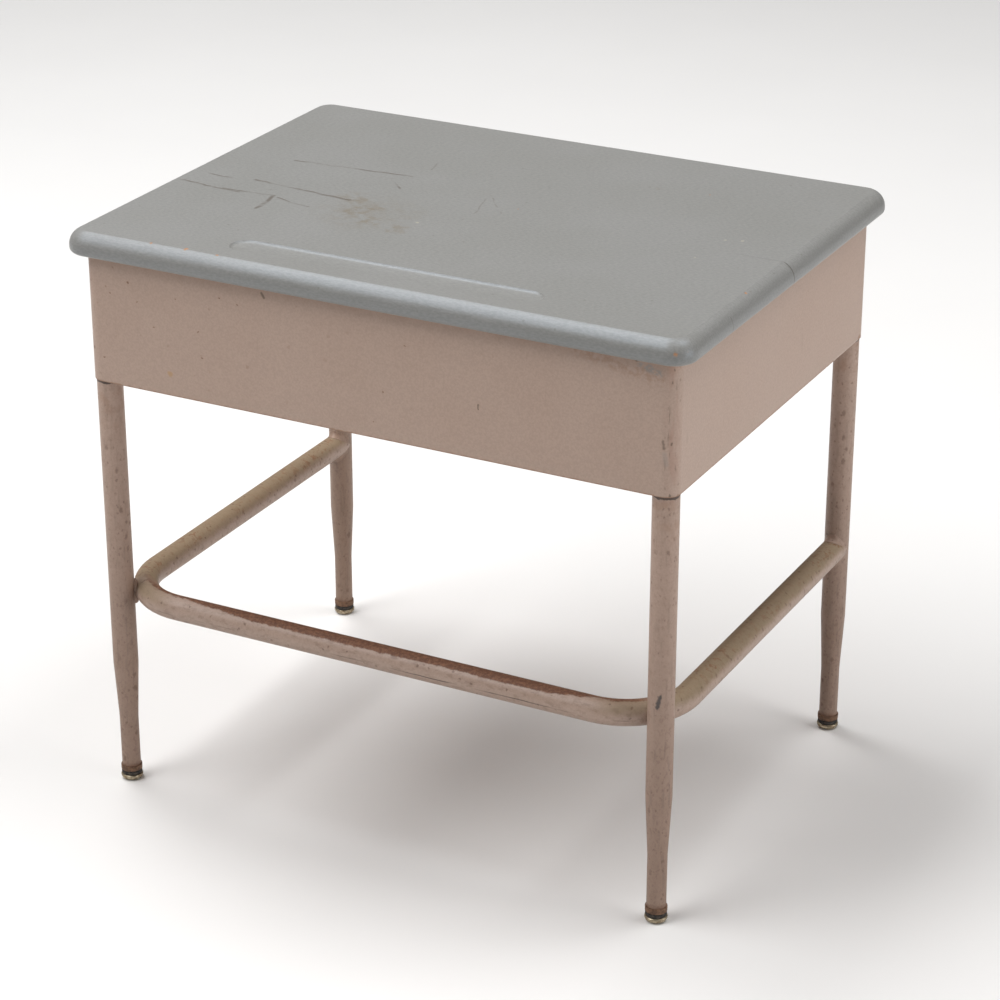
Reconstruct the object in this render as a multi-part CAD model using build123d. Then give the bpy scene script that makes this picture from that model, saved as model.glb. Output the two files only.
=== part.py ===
"""School desk: a solid wood top on an open-front sheet-steel book box, carried on four
swaged tubular legs with a U-shaped foot rail and cushioned swivel glides.

Units are millimetres. +Z is up, the sitter's open side faces -Y, and the origin is on the
floor under the middle of the top.
"""
from build123d import *
import math
import os

# ---- driving dimensions -------------------------------------------------------------
TOP_WIDTH = 608.0            # along X
TOP_DEPTH = 456.0            # along Y
TOP_THICKNESS = 21.5
DESK_HEIGHT = 555.0          # floor to writing surface
TOP_CORNER_RADIUS = 22.0     # plan radius of the top's corners
TOP_OVERHANG_X = 14.5        # top beyond the book box at each short side
TOP_OVERHANG_Y = 13.5        # top beyond the book box, front and rear
EDGE_UPPER_RADIUS = 15.0     # the edge is rounded more above than below
EDGE_LOWER_RADIUS = 5.5
EDGE_ARRIS = 0.5             # planed off above the round, so that it meets the flat at an angle
BOARD_JOINTS_Y = (-146.0, -52.0, 6.0, 137.0)   # glue lines between the five boards

GROOVE_Y = 184.0             # pencil groove in the rear board
GROOVE_LENGTH = 274.0        # between the centres of its round ends
GROOVE_RADIUS = 14.5         # half its width, and the plan radius of its ends
GROOVE_DEPTH = 2.4           # at the middle
GROOVE_FLOOR_RADIUS = 105.0  # the floor is almost flat
GROOVE_WALL_RADIUS = 5.0     # cove between the floor and the rim
GROOVE_FLOOR_SHARE = 0.77    # share of the half width that is floor

BOX_HEIGHT = 121.0
SHEET = 1.2                  # steel sheet thickness
STILE_WIDTH = 34.0           # shell returned across the front, over each front leg
TOP_FLANGE = 16.0            # shell flange under the wooden top
BOTTOM_HEM = 10.0            # shell hem that carries the book-box floor
HEM_BEND = 1.0               # outside radius of the fold along the shell's lower edge
FRONT_LIP = 12.0             # upturned front edge of the floor
OPENING_RAIL_FACE = 12.0     # folded rail over the opening

LEG_DIAMETER = 23.6
LEG_FOOT_DIAMETER = 17.8
TUBE_WALL = 1.6
SWAGE_BOTTOM_Z = 66.0        # taper between the two leg diameters
SWAGE_TOP_Z = 124.0
SWAGE_BLEND = 60.0           # radius that blends the taper into both diameters

RAIL_DIAMETER = 23.6
RAIL_Z = 196.0               # centre height of the foot rail
RAIL_OFFSET_Y = 3.3          # rail's rear run, outboard of the rear legs' centres
RAIL_LEG_GAP = 0.2           # between each bend and the rear leg inside which it nests

SCREW_ROW_X = (-180.0, 0.0, 180.0)
SCREW_SIDE_Y = (-110.0, 110.0)
SCREW_RADIUS = 1.9
SCREW_DEPTH = 13.0           # screw length in the wood
SCREW_HEAD_RADIUS = 4.0
SCREW_HEAD_HEIGHT = 2.4
SCREW_HOLE_RADIUS = 2.3

BASE_RADIUS = 10.4           # domed glide base
BASE_HEIGHT = 5.6
BASE_FLAT_RADIUS = 6.4
BASE_WALL = 1.1
CUSHION_RADIUS = 9.7
CUSHION_HEIGHT = 4.4
SOCKET_RADIUS = 10.0         # pressed socket round the end of the leg
SOCKET_HEIGHT = 5.2
SOCKET_SLEEVE = 14.0         # sleeve of the socket inside the leg
STEM_RADIUS = 2.5
STEM_CLEARANCE = 0.06        # running fit of the base on its stem
STEM_HEAD_RADIUS = 6.0
STEM_HEAD_HEIGHT = 1.5

SADDLE_WELD_LEG = 5.0        # leg length of the fillet welds between rail and front legs
SADDLE_WELD_WIDTH = 16.0
TACK_WELD_RADIUS = 7.0
TACK_WELD_GAP = 3.0          # no weld metal this close above or below the contact point
BEAD_RADIUS = 2.2
BEAD_LENGTH = 26.0

# ---- derived positions --------------------------------------------------------------
BOX_WIDTH = TOP_WIDTH - 2 * TOP_OVERHANG_X
BOX_DEPTH = TOP_DEPTH - 2 * TOP_OVERHANG_Y
BOX_TOP = DESK_HEIGHT - TOP_THICKNESS
BOX_BOTTOM = BOX_TOP - BOX_HEIGHT
LEG_RADIUS = LEG_DIAMETER / 2
LEG_FOOT_RADIUS = LEG_FOOT_DIAMETER / 2
RAIL_RADIUS = RAIL_DIAMETER / 2
CORNER_RADIUS = LEG_RADIUS + SHEET              # shell corner, formed round the leg
LEG_X = BOX_WIDTH / 2 - CORNER_RADIUS
LEG_Y = BOX_DEPTH / 2 - CORNER_RADIUS
LEG_TOP = BOX_TOP - SHEET
CUSHION_Z = BASE_HEIGHT
SOCKET_Z = CUSHION_Z + CUSHION_HEIGHT
LEG_BOTTOM = SOCKET_Z + SHEET
FLOOR_Z = BOX_BOTTOM + SHEET
LEGS = {
    "front_left": (-LEG_X, -LEG_Y),
    "front_right": (LEG_X, -LEG_Y),
    "rear_left": (-LEG_X, LEG_Y),
    "rear_right": (LEG_X, LEG_Y),
}


def block(x_range, y_range, z_range):
    """A box between two values on each axis."""
    size = [high - low for low, high in (x_range, y_range, z_range)]
    middle = [(high + low) / 2 for low, high in (x_range, y_range, z_range)]
    return Pos(*middle) * Box(*size)


def post(x, y, z_range, radius):
    """A vertical cylinder."""
    low, high = z_range
    return Pos(x, y, (low + high) / 2) * Cylinder(radius, high - low)


# ---- wooden top ---------------------------------------------------------------------
def make_top_panel():
    """The whole top: a slab with rounded corners and a rounded edge."""
    outline = RectangleRounded(TOP_WIDTH, TOP_DEPTH, TOP_CORNER_RADIUS)
    slab = extrude(outline, TOP_THICKNESS + EDGE_ARRIS)
    slab = fillet(slab.edges().group_by(Axis.Z)[-1], EDGE_UPPER_RADIUS)
    slab = fillet(slab.edges().group_by(Axis.Z)[0], EDGE_LOWER_RADIUS)
    slab &= block((-TOP_WIDTH, TOP_WIDTH), (-TOP_DEPTH, TOP_DEPTH), (0, TOP_THICKNESS))
    return Pos(0, 0, BOX_TOP) * slab


def groove_half_section():
    """Half section of the pencil groove: distance from its middle, and height from the rim."""
    floor_edge = GROOVE_RADIUS * GROOVE_FLOOR_SHARE
    rise = GROOVE_FLOOR_RADIUS - math.sqrt(GROOVE_FLOOR_RADIUS**2 - floor_edge**2)
    floor = RadiusArc((0, -GROOVE_DEPTH), (floor_edge, rise - GROOVE_DEPTH), -GROOVE_FLOOR_RADIUS)
    wall = RadiusArc(floor @ 1, (GROOVE_RADIUS, 0), -GROOVE_WALL_RADIUS)
    rest = Polyline(wall @ 1, (GROOVE_RADIUS, 1), (0, 1), floor @ 0)
    return make_face([floor, wall, rest])


def make_groove_cutter():
    """Wide shallow pencil groove with round ends."""
    half = Plane.YZ * groove_half_section()
    run = extrude(half + mirror(half, Plane.XZ), GROOVE_LENGTH / 2, both=True)
    end = revolve(Plane.XZ * groove_half_section(), Axis.Z)
    for side in (-1, 1):
        run += Pos(side * GROOVE_LENGTH / 2, 0, 0) * end
    return Pos(0, GROOVE_Y, DESK_HEIGHT) * run


def screw_points():
    """Places of the screws that hold the top: two rows and two on each side."""
    row_y = BOX_DEPTH / 2 - SHEET - TOP_FLANGE / 2
    side_x = BOX_WIDTH / 2 - SHEET - TOP_FLANGE / 2
    points = [(x, y) for x in SCREW_ROW_X for y in (-row_y, row_y)]
    points += [(x, y) for x in (-side_x, side_x) for y in SCREW_SIDE_Y]
    return points


def make_top_boards():
    """The five glued boards, front (sitter's side) to rear."""
    panel = make_top_panel() - make_groove_cutter()
    for x, y in screw_points():
        panel -= post(x, y, (BOX_TOP, BOX_TOP + SCREW_DEPTH), SCREW_RADIUS)
    names = ("top_board_front", "top_board_2", "top_board_3", "top_board_4", "top_board_rear")
    edges = (-TOP_DEPTH, *BOARD_JOINTS_Y, TOP_DEPTH)
    boards = {}
    for name, low, high in zip(names, edges, edges[1:]):
        boards[name] = panel & block((-TOP_WIDTH, TOP_WIDTH), (low, high), (0, 2 * DESK_HEIGHT))
    return boards


def make_top_screws():
    """Pan-head wood screws, driven up through the flanges."""
    screws = []
    head_top = BOX_TOP - SHEET
    for x, y in screw_points():
        shank = post(x, y, (head_top, BOX_TOP + SCREW_DEPTH), SCREW_RADIUS)
        head = post(x, y, (head_top - SCREW_HEAD_HEIGHT, head_top), SCREW_HEAD_RADIUS)
        rim = head.edges().group_by(Axis.Z)[0]
        screws.append(shank + fillet(rim, SCREW_HEAD_HEIGHT * 0.7))
    return Compound(children=screws)


# ---- book box -----------------------------------------------------------------------
def flange_strips(width, z_range):
    """Strips inside the rear and side walls, stopped short of the legs."""
    wall_x = BOX_WIDTH / 2 - SHEET
    wall_y = BOX_DEPTH / 2 - SHEET
    end_x = LEG_X - LEG_RADIUS - SHEET
    end_y = LEG_Y - LEG_RADIUS - SHEET
    rear = block((-end_x, end_x), (wall_y - width, wall_y), z_range)
    left = block((-wall_x, -wall_x + width), (-end_y, end_y), z_range)
    right = block((wall_x - width, wall_x), (-end_y, end_y), z_range)
    return rear + left + right


def on_outer_outline(edge):
    """Whether an edge lies on the outside of the shell's rear, side or rounded corner."""
    middle = edge @ 0.5
    across = max(abs(middle.X) - LEG_X, 0.0)
    along = max(abs(middle.Y) - LEG_Y, 0.0)
    return math.hypot(across, along) > CORNER_RADIUS - SHEET / 4


def make_shell():
    """One sheet round three sides and the corners, returned across the front as stiles."""
    outer = RectangleRounded(BOX_WIDTH, BOX_DEPTH, CORNER_RADIUS)
    inner = RectangleRounded(BOX_WIDTH - 2 * SHEET, BOX_DEPTH - 2 * SHEET, LEG_RADIUS)
    walls = Pos(0, 0, BOX_BOTTOM) * extrude(outer - inner, BOX_HEIGHT)
    opening = BOX_WIDTH / 2 - STILE_WIDTH
    walls -= block((-opening, opening), (-BOX_DEPTH, 0), (BOX_BOTTOM - 1, BOX_TOP + 1))
    walls += flange_strips(TOP_FLANGE, (BOX_TOP - SHEET, BOX_TOP))
    walls += flange_strips(BOTTOM_HEM, (BOX_BOTTOM, BOX_BOTTOM + SHEET))
    lower_outline = [
        edge
        for edge in walls.edges().group_by(Axis.Z)[0]
        if on_outer_outline(edge)
    ]
    walls = fillet(lower_outline, HEM_BEND)
    for x, y in screw_points():
        walls -= post(x, y, (BOX_TOP - 2 * SHEET, BOX_TOP + 1), SCREW_HOLE_RADIUS)
    return walls


def make_floor():
    """Shelf of the book box, laid on the shell's hem, with its front edge turned up."""
    half_x = BOX_WIDTH / 2 - SHEET
    half_y = BOX_DEPTH / 2 - SHEET
    floor = Pos(0, 0, FLOOR_Z) * extrude(Rectangle(2 * half_x, 2 * half_y), SHEET)
    for x, y in LEGS.values():
        corner = block(
            sorted((math.copysign(LEG_X - LEG_RADIUS, x), math.copysign(BOX_WIDTH, x))),
            sorted((math.copysign(LEG_Y - LEG_RADIUS, y), math.copysign(BOX_DEPTH, y))),
            (BOX_BOTTOM, BOX_TOP),
        )
        floor -= corner
    lip_x = LEG_X - LEG_RADIUS
    lip = block((-lip_x, lip_x), (-half_y, -half_y + SHEET), (FLOOR_Z, FLOOR_Z + FRONT_LIP))
    rolled_edge = (
        Pos(0, -half_y + SHEET, FLOOR_Z + FRONT_LIP)
        * Rot(0, 90, 0)
        * Cylinder(SHEET, 2 * lip_x)
    )
    return floor + lip + rolled_edge


def make_opening_rail():
    """Folded channel over the opening, between the front legs, screwed to the top."""
    end_x = LEG_X - LEG_RADIUS
    front = -BOX_DEPTH / 2 + SHEET
    face = block((-end_x, end_x), (front, front + SHEET), (BOX_TOP - OPENING_RAIL_FACE, BOX_TOP))
    flange = block((-end_x, end_x), (front, front + TOP_FLANGE), (BOX_TOP - SHEET, BOX_TOP))
    rolled_edge = (
        Pos(0, front + SHEET, BOX_TOP - OPENING_RAIL_FACE)
        * Rot(0, 90, 0)
        * Cylinder(SHEET, 2 * end_x)
    )
    rail = face + flange + rolled_edge
    for x, y in screw_points():
        rail -= post(x, y, (BOX_TOP - 2 * SHEET, BOX_TOP + 1), SCREW_HOLE_RADIUS)
    return rail


# ---- legs and foot rail -------------------------------------------------------------
def swaged_profile(inset, bottom, top):
    """Half section of the leg, from its axis to its surface less the given inset."""
    narrow = LEG_FOOT_RADIUS - inset
    wide = LEG_RADIUS - inset
    outline = Polyline(
        (0, bottom),
        (narrow, bottom),
        (narrow, SWAGE_BOTTOM_Z),
        (wide, SWAGE_TOP_Z),
        (wide, top),
        (0, top),
        close=True,
    )
    face = make_face(outline)
    bends = [
        vertex
        for vertex in face.vertices()
        if min(abs(vertex.Y - SWAGE_BOTTOM_Z), abs(vertex.Y - SWAGE_TOP_Z)) < 0.1
    ]
    return Plane.XZ * fillet(bends, SWAGE_BLEND)


def make_leg(x, y):
    """Hollow tube, swaged to its foot diameter over the lower part."""
    outside = revolve(swaged_profile(0, LEG_BOTTOM, LEG_TOP), Axis.Z)
    bore = revolve(swaged_profile(TUBE_WALL, LEG_BOTTOM - 1, LEG_TOP + 1), Axis.Z)
    return Pos(x, y, 0) * (outside - bore)


def rail_bend_radius():
    """Centreline radius whose bend just nests against the inner side of a rear leg.

    With the leg at the origin, the side run on x = 0 and the rear run on y = offset, the
    bend's centre is at (-R, offset - R), and it lies R + rail + leg radius + gap away.
    """
    reach = RAIL_RADIUS + LEG_RADIUS + RAIL_LEG_GAP
    total = reach + RAIL_OFFSET_Y
    return total + math.sqrt(total**2 + reach**2 - RAIL_OFFSET_Y**2)


def make_foot_rail():
    """U-shaped tube, coped to the front legs and bent inside the rear legs."""
    rear_y = LEG_Y + RAIL_OFFSET_Y
    corners = [
        (-LEG_X, -LEG_Y, RAIL_Z),
        (-LEG_X, rear_y, RAIL_Z),
        (LEG_X, rear_y, RAIL_Z),
        (LEG_X, -LEG_Y, RAIL_Z),
    ]
    path = FilletPolyline(*corners, radius=rail_bend_radius())
    section = Plane(origin=path @ 0, z_dir=path % 0) * (
        Circle(RAIL_RADIUS) - Circle(RAIL_RADIUS - TUBE_WALL)
    )
    rail = sweep(section, path=path)
    for name in ("front_left", "front_right"):
        x, y = LEGS[name]
        rail -= post(x, y, (RAIL_Z - 2 * RAIL_RADIUS, RAIL_Z + 2 * RAIL_RADIUS), LEG_RADIUS)
    return rail


def make_rail_welds():
    """Welds over and under the rail: fillets at the front legs, tacks at the rear legs."""
    welds = []
    tall = (RAIL_Z - 3 * RAIL_RADIUS, RAIL_Z + 3 * RAIL_RADIUS)
    half_width = SADDLE_WELD_WIDTH / 2
    skirt = LEG_RADIUS + SADDLE_WELD_LEG
    for name in ("front_left", "front_right"):
        x, y = LEGS[name]
        along_rail = Pos(x, y + skirt / 2, RAIL_Z) * Rot(-90, 0, 0)
        cone = along_rail * Cone(RAIL_RADIUS + skirt, RAIL_RADIUS, skirt)
        cone &= block((x - half_width, x + half_width), (y, y + skirt), tall)
        bore = along_rail * Cylinder(RAIL_RADIUS, 2 * skirt)
        welds.append(cone - bore - post(x, y, tall, LEG_RADIUS))
    bend = rail_bend_radius()
    for name in ("rear_left", "rear_right"):
        x, y = LEGS[name]
        side = math.copysign(1, x)
        centre_x = x - side * bend
        centre_y = y + RAIL_OFFSET_Y - bend
        reach = math.hypot(x - centre_x, y - centre_y)
        share = 1 - (LEG_RADIUS + RAIL_LEG_GAP / 2) / reach
        spot = (centre_x + (x - centre_x) * share, centre_y + (y - centre_y) * share, RAIL_Z)
        ring = Pos(centre_x, centre_y, RAIL_Z) * Torus(bend, RAIL_RADIUS)
        lump = Pos(*spot) * Sphere(TACK_WELD_RADIUS) - ring - post(x, y, tall, LEG_RADIUS)
        contact_band = (RAIL_Z - TACK_WELD_GAP, RAIL_Z + TACK_WELD_GAP)
        welds.append(lump - post(*spot[:2], contact_band, 2 * TACK_WELD_RADIUS))
    return Compound(children=[solid for weld in welds for solid in weld.solids()])


def make_leg_welds():
    """Upright beads inside the box, where each leg leaves the shell's walls."""
    beads = []
    middle = (BOX_BOTTOM + BOX_TOP) / 2
    span = (middle - BEAD_LENGTH / 2, middle + BEAD_LENGTH / 2)
    nook = BEAD_RADIUS + math.sqrt(4 * LEG_RADIUS * BEAD_RADIUS)
    for x, y in LEGS.values():
        side_x = math.copysign(1, x)
        side_y = math.copysign(1, y)
        wall_x = side_x * (BOX_WIDTH / 2 - SHEET)
        wall_y = side_y * (BOX_DEPTH / 2 - SHEET)
        tube = post(x, y, (BOX_BOTTOM, BOX_TOP), LEG_RADIUS)
        reach = nook - BEAD_RADIUS
        places = (
            (wall_x - side_x * BEAD_RADIUS, y - side_y * reach),
            (x - side_x * reach, wall_y - side_y * BEAD_RADIUS),
        )
        for bead_x, bead_y in places:
            beads.append(post(bead_x, bead_y, span, BEAD_RADIUS) - tube)
    return Compound(children=beads)


# ---- cushioned swivel glides --------------------------------------------------------
def turned(*points):
    """Solid of revolution about Z from half-section points (radius, height)."""
    return revolve(Plane.XZ * make_face(Polyline(*points, close=True)), Axis.Z)


def make_glide_base():
    """Pressed cup with a rounded skirt and a closed top that holds the stem's head."""
    body = turned((0, 0), (BASE_RADIUS, 0), (BASE_RADIUS, BASE_HEIGHT), (0, BASE_HEIGHT))
    lower_rim = body.edges().filter_by(GeomType.CIRCLE).group_by(Axis.Z)[0]
    body = fillet(lower_rim, BASE_RADIUS - BASE_FLAT_RADIUS)
    upper_rim = body.edges().filter_by(GeomType.CIRCLE).group_by(Axis.Z)[-1]
    body = fillet(upper_rim, BASE_WALL)
    chamber = post(0, 0, (BASE_WALL, BASE_HEIGHT - BASE_WALL), STEM_HEAD_RADIUS + 1)
    hole = post(0, 0, (BASE_WALL, BASE_HEIGHT + 1), STEM_RADIUS + STEM_CLEARANCE)
    return body - chamber - hole


def make_glide_cushion():
    """Rubber washer between the base and the socket, bulged by the load."""
    low = CUSHION_Z
    high = CUSHION_Z + CUSHION_HEIGHT
    washer = post(0, 0, (low, high), CUSHION_RADIUS)
    rims = washer.edges().filter_by(GeomType.CIRCLE)
    washer = fillet(rims, CUSHION_HEIGHT / 3)
    return washer - post(0, 0, (low - 1, high + 1), STEM_RADIUS)


def make_glide_socket():
    """Cup pressed over the end of the leg, with a sleeve inside the tube."""
    floor_top = LEG_BOTTOM
    cup = post(0, 0, (SOCKET_Z, SOCKET_Z + SOCKET_HEIGHT), SOCKET_RADIUS)
    cup = fillet(cup.edges().filter_by(GeomType.CIRCLE), SHEET / 2)
    cup -= post(0, 0, (floor_top, SOCKET_Z + SOCKET_HEIGHT + 1), LEG_FOOT_RADIUS)
    bore_radius = LEG_FOOT_RADIUS - TUBE_WALL
    sleeve = post(0, 0, (floor_top, floor_top + SOCKET_SLEEVE), bore_radius)
    sleeve -= post(0, 0, (floor_top, floor_top + SOCKET_SLEEVE), bore_radius - SHEET)
    cap_top = floor_top + SOCKET_SLEEVE
    sleeve += post(0, 0, (cap_top - SHEET, cap_top), bore_radius)
    return cup + sleeve - post(0, 0, (SOCKET_Z - 1, cap_top + 1), STEM_RADIUS)


def make_glide_stem():
    """Rivet: a flat head held in the base, and a peened end above the socket's sleeve."""
    head_z = BASE_HEIGHT - BASE_WALL - 0.2 - STEM_HEAD_HEIGHT
    peen_z = LEG_BOTTOM + SOCKET_SLEEVE
    shank = post(0, 0, (head_z, peen_z + STEM_RADIUS), STEM_RADIUS)
    head = post(0, 0, (head_z, head_z + STEM_HEAD_HEIGHT), STEM_HEAD_RADIUS)
    peen = post(0, 0, (peen_z, peen_z + STEM_RADIUS), 2 * STEM_RADIUS)
    peen = fillet(peen.edges().group_by(Axis.Z)[-1], STEM_RADIUS / 2)
    return shank + head + peen


def make_parts():
    """Every node of the desk, by name."""
    parts = make_top_boards()
    parts["top_screws"] = make_top_screws()
    parts["book_box_shell"] = make_shell()
    parts["book_box_floor"] = make_floor()
    parts["opening_rail"] = make_opening_rail()
    parts["foot_rail"] = make_foot_rail()
    parts["rail_welds"] = make_rail_welds()
    parts["leg_welds"] = make_leg_welds()
    for name, (x, y) in LEGS.items():
        parts[f"leg_{name}"] = make_leg(x, y)
        parts[f"glide_socket_{name}"] = Pos(x, y, 0) * make_glide_socket()
        parts[f"glide_cushion_{name}"] = Pos(x, y, 0) * make_glide_cushion()
        parts[f"glide_base_{name}"] = Pos(x, y, 0) * make_glide_base()
        parts[f"glide_stem_{name}"] = Pos(x, y, 0) * make_glide_stem()
    return parts


os.makedirs("parts", exist_ok=True)
for node, shape in make_parts().items():
    export_step(shape, f"parts/{node}.step")
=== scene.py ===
"""Old school desk: the looks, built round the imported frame. Metres, +Z up, +Y is the desk's rear."""
import math

import bmesh
import bpy
from mathutils import Matrix, Vector, noise


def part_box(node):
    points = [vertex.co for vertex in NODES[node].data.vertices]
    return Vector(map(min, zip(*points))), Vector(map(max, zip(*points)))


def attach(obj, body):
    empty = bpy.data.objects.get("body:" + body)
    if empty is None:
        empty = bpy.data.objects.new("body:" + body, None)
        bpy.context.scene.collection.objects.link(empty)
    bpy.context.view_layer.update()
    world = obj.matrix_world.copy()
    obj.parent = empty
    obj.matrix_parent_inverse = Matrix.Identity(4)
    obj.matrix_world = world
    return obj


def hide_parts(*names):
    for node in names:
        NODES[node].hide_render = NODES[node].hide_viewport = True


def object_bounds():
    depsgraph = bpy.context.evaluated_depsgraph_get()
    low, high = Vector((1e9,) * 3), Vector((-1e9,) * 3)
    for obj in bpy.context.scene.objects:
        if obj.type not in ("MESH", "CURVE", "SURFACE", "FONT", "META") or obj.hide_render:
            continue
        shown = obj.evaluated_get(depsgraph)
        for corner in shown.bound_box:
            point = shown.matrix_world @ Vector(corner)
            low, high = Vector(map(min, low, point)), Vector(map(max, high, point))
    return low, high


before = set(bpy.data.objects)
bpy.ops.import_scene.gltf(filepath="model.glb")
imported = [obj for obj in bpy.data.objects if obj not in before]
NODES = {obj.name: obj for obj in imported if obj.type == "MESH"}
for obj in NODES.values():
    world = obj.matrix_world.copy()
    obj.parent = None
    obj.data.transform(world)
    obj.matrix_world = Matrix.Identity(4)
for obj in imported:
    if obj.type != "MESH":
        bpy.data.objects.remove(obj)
cad_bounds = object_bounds()
FRONT_FEET = ("front_left", "front_right")
REAR_FEET = ("rear_left", "rear_right")
MM = 0.001

# ---- places read from the frame ---------------------------------------------------------
TOP_Z = cad_bounds[1].z
TOP_HALF_X = cad_bounds[1].x
TOP_HALF_Y = cad_bounds[1].y
SHELL_LOW, SHELL_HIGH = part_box("book_box_shell")
RAIL_LOW, RAIL_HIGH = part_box("foot_rail")
RAIL_Z = (RAIL_LOW.z + RAIL_HIGH.z) / 2
TUBE_RADIUS = (RAIL_HIGH.z - RAIL_LOW.z) / 2
RAIL_REAR_Y = RAIL_HIGH.y - TUBE_RADIUS
SEAM_Y = tuple(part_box(name)[0].y for name in ("top_board_4", "top_board_rear"))


def leg_axis(foot):
    """X and Y of a leg's axis."""
    low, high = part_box("leg_" + foot)
    return (low.x + high.x) / 2, (low.y + high.y) / 2


# ---- view -------------------------------------------------------------------------------
CAMERA_AZIMUTH = 207.59
CAMERA_ELEVATION = 24.15
CAMERA_DISTANCE = 2.8283
CAMERA_TARGET = Vector((-0.0143, -0.0034, 0.2694))
CAMERA_LENS = 108.62
SENSOR_WIDTH = 36.0


def direction(azimuth, elevation):
    """Unit vector from the object towards a viewer at that azimuth and elevation, in degrees."""
    a, e = math.radians(azimuth), math.radians(elevation)
    return Vector((math.sin(a) * math.cos(e), -math.cos(a) * math.cos(e), math.sin(e)))


def add_camera():
    """The camera, looking down at the desk's rear left corner."""
    data = bpy.data.cameras.new("camera")
    data.lens = CAMERA_LENS
    data.sensor_width = SENSOR_WIDTH
    camera = bpy.data.objects.new("camera", data)
    bpy.context.scene.collection.objects.link(camera)
    back = direction(CAMERA_AZIMUTH, CAMERA_ELEVATION)
    camera.location = CAMERA_TARGET + back * CAMERA_DISTANCE
    camera.rotation_euler = (-back).to_track_quat("-Z", "Y").to_euler()
    bpy.context.scene.camera = camera


# ---- studio -----------------------------------------------------------------------------
SKY_COLOUR = (1.0, 1.0, 1.0)
SKY_STRENGTH = 0.08
SOFTBOX_DISTANCE = 4.5
SOFTBOX_WIDTH = 2.2
SOFTBOXES = (
    # name, azimuth, elevation, length towards +Y, power
    ("overhead_panel", 121, 62, 5.4, 222.0),
    ("left_overhead_softbox", 300, 65, 2.2, 85.0),
    ("front_overhead_softbox", 60, 65, 2.2, 50.0),
    ("left_low_softbox", 270, 8, 2.2, 68.0),
    ("rear_softbox", 135, 40, 2.2, 16.0),
)
SOFTBOX_AIM = Vector((0.0, 0.0, 0.4))
FLOOR_SIZE = 40.0
FLOOR_DARK = (0.80, 0.79, 0.78)
FLOOR_PALE = (0.84, 0.83, 0.82)
FLOOR_MOTTLE_SIZE = 0.4
FLOOR_ROUGHNESS = 0.9


def add_softbox(name, azimuth, elevation, length, power):
    """A soft light aimed at the desk, with its long side towards +Y."""
    data = bpy.data.lights.new(name, "AREA")
    data.shape = "RECTANGLE"
    data.size = SOFTBOX_WIDTH
    data.size_y = length
    data.energy = power
    light = bpy.data.objects.new(name, data)
    bpy.context.scene.collection.objects.link(light)
    back = direction(azimuth, elevation)
    across = Vector((0.0, 1.0, 0.0)).cross(back).normalized()
    light.location = SOFTBOX_AIM + back * SOFTBOX_DISTANCE
    light.rotation_euler = Matrix((across, back.cross(across), back)).transposed().to_euler()


def add_studio():
    """A pale floor, a strong overhead softbox and weaker ones round it."""
    bpy.context.scene.view_settings.view_transform = "Standard"
    world = bpy.data.worlds.new("studio")
    world.use_nodes = True
    background = world.node_tree.nodes["Background"]
    background.inputs["Color"].default_value = (*SKY_COLOUR, 1.0)
    background.inputs["Strength"].default_value = SKY_STRENGTH
    bpy.context.scene.world = world
    for softbox in SOFTBOXES:
        add_softbox(*softbox)
    bpy.ops.mesh.primitive_plane_add(size=FLOOR_SIZE)
    floor = bpy.context.object
    floor.name = "studio_floor"
    graph = Graph("pale_floor")
    mottle = graph.noise(FLOOR_MOTTLE_SIZE, detail=2)
    graph.finish(graph.colour(mottle, FLOOR_DARK, FLOOR_PALE), FLOOR_ROUGHNESS)
    floor.data.materials.append(graph.material)


# ---- node materials ---------------------------------------------------------------------
SEED_STEP = 17.3


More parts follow.
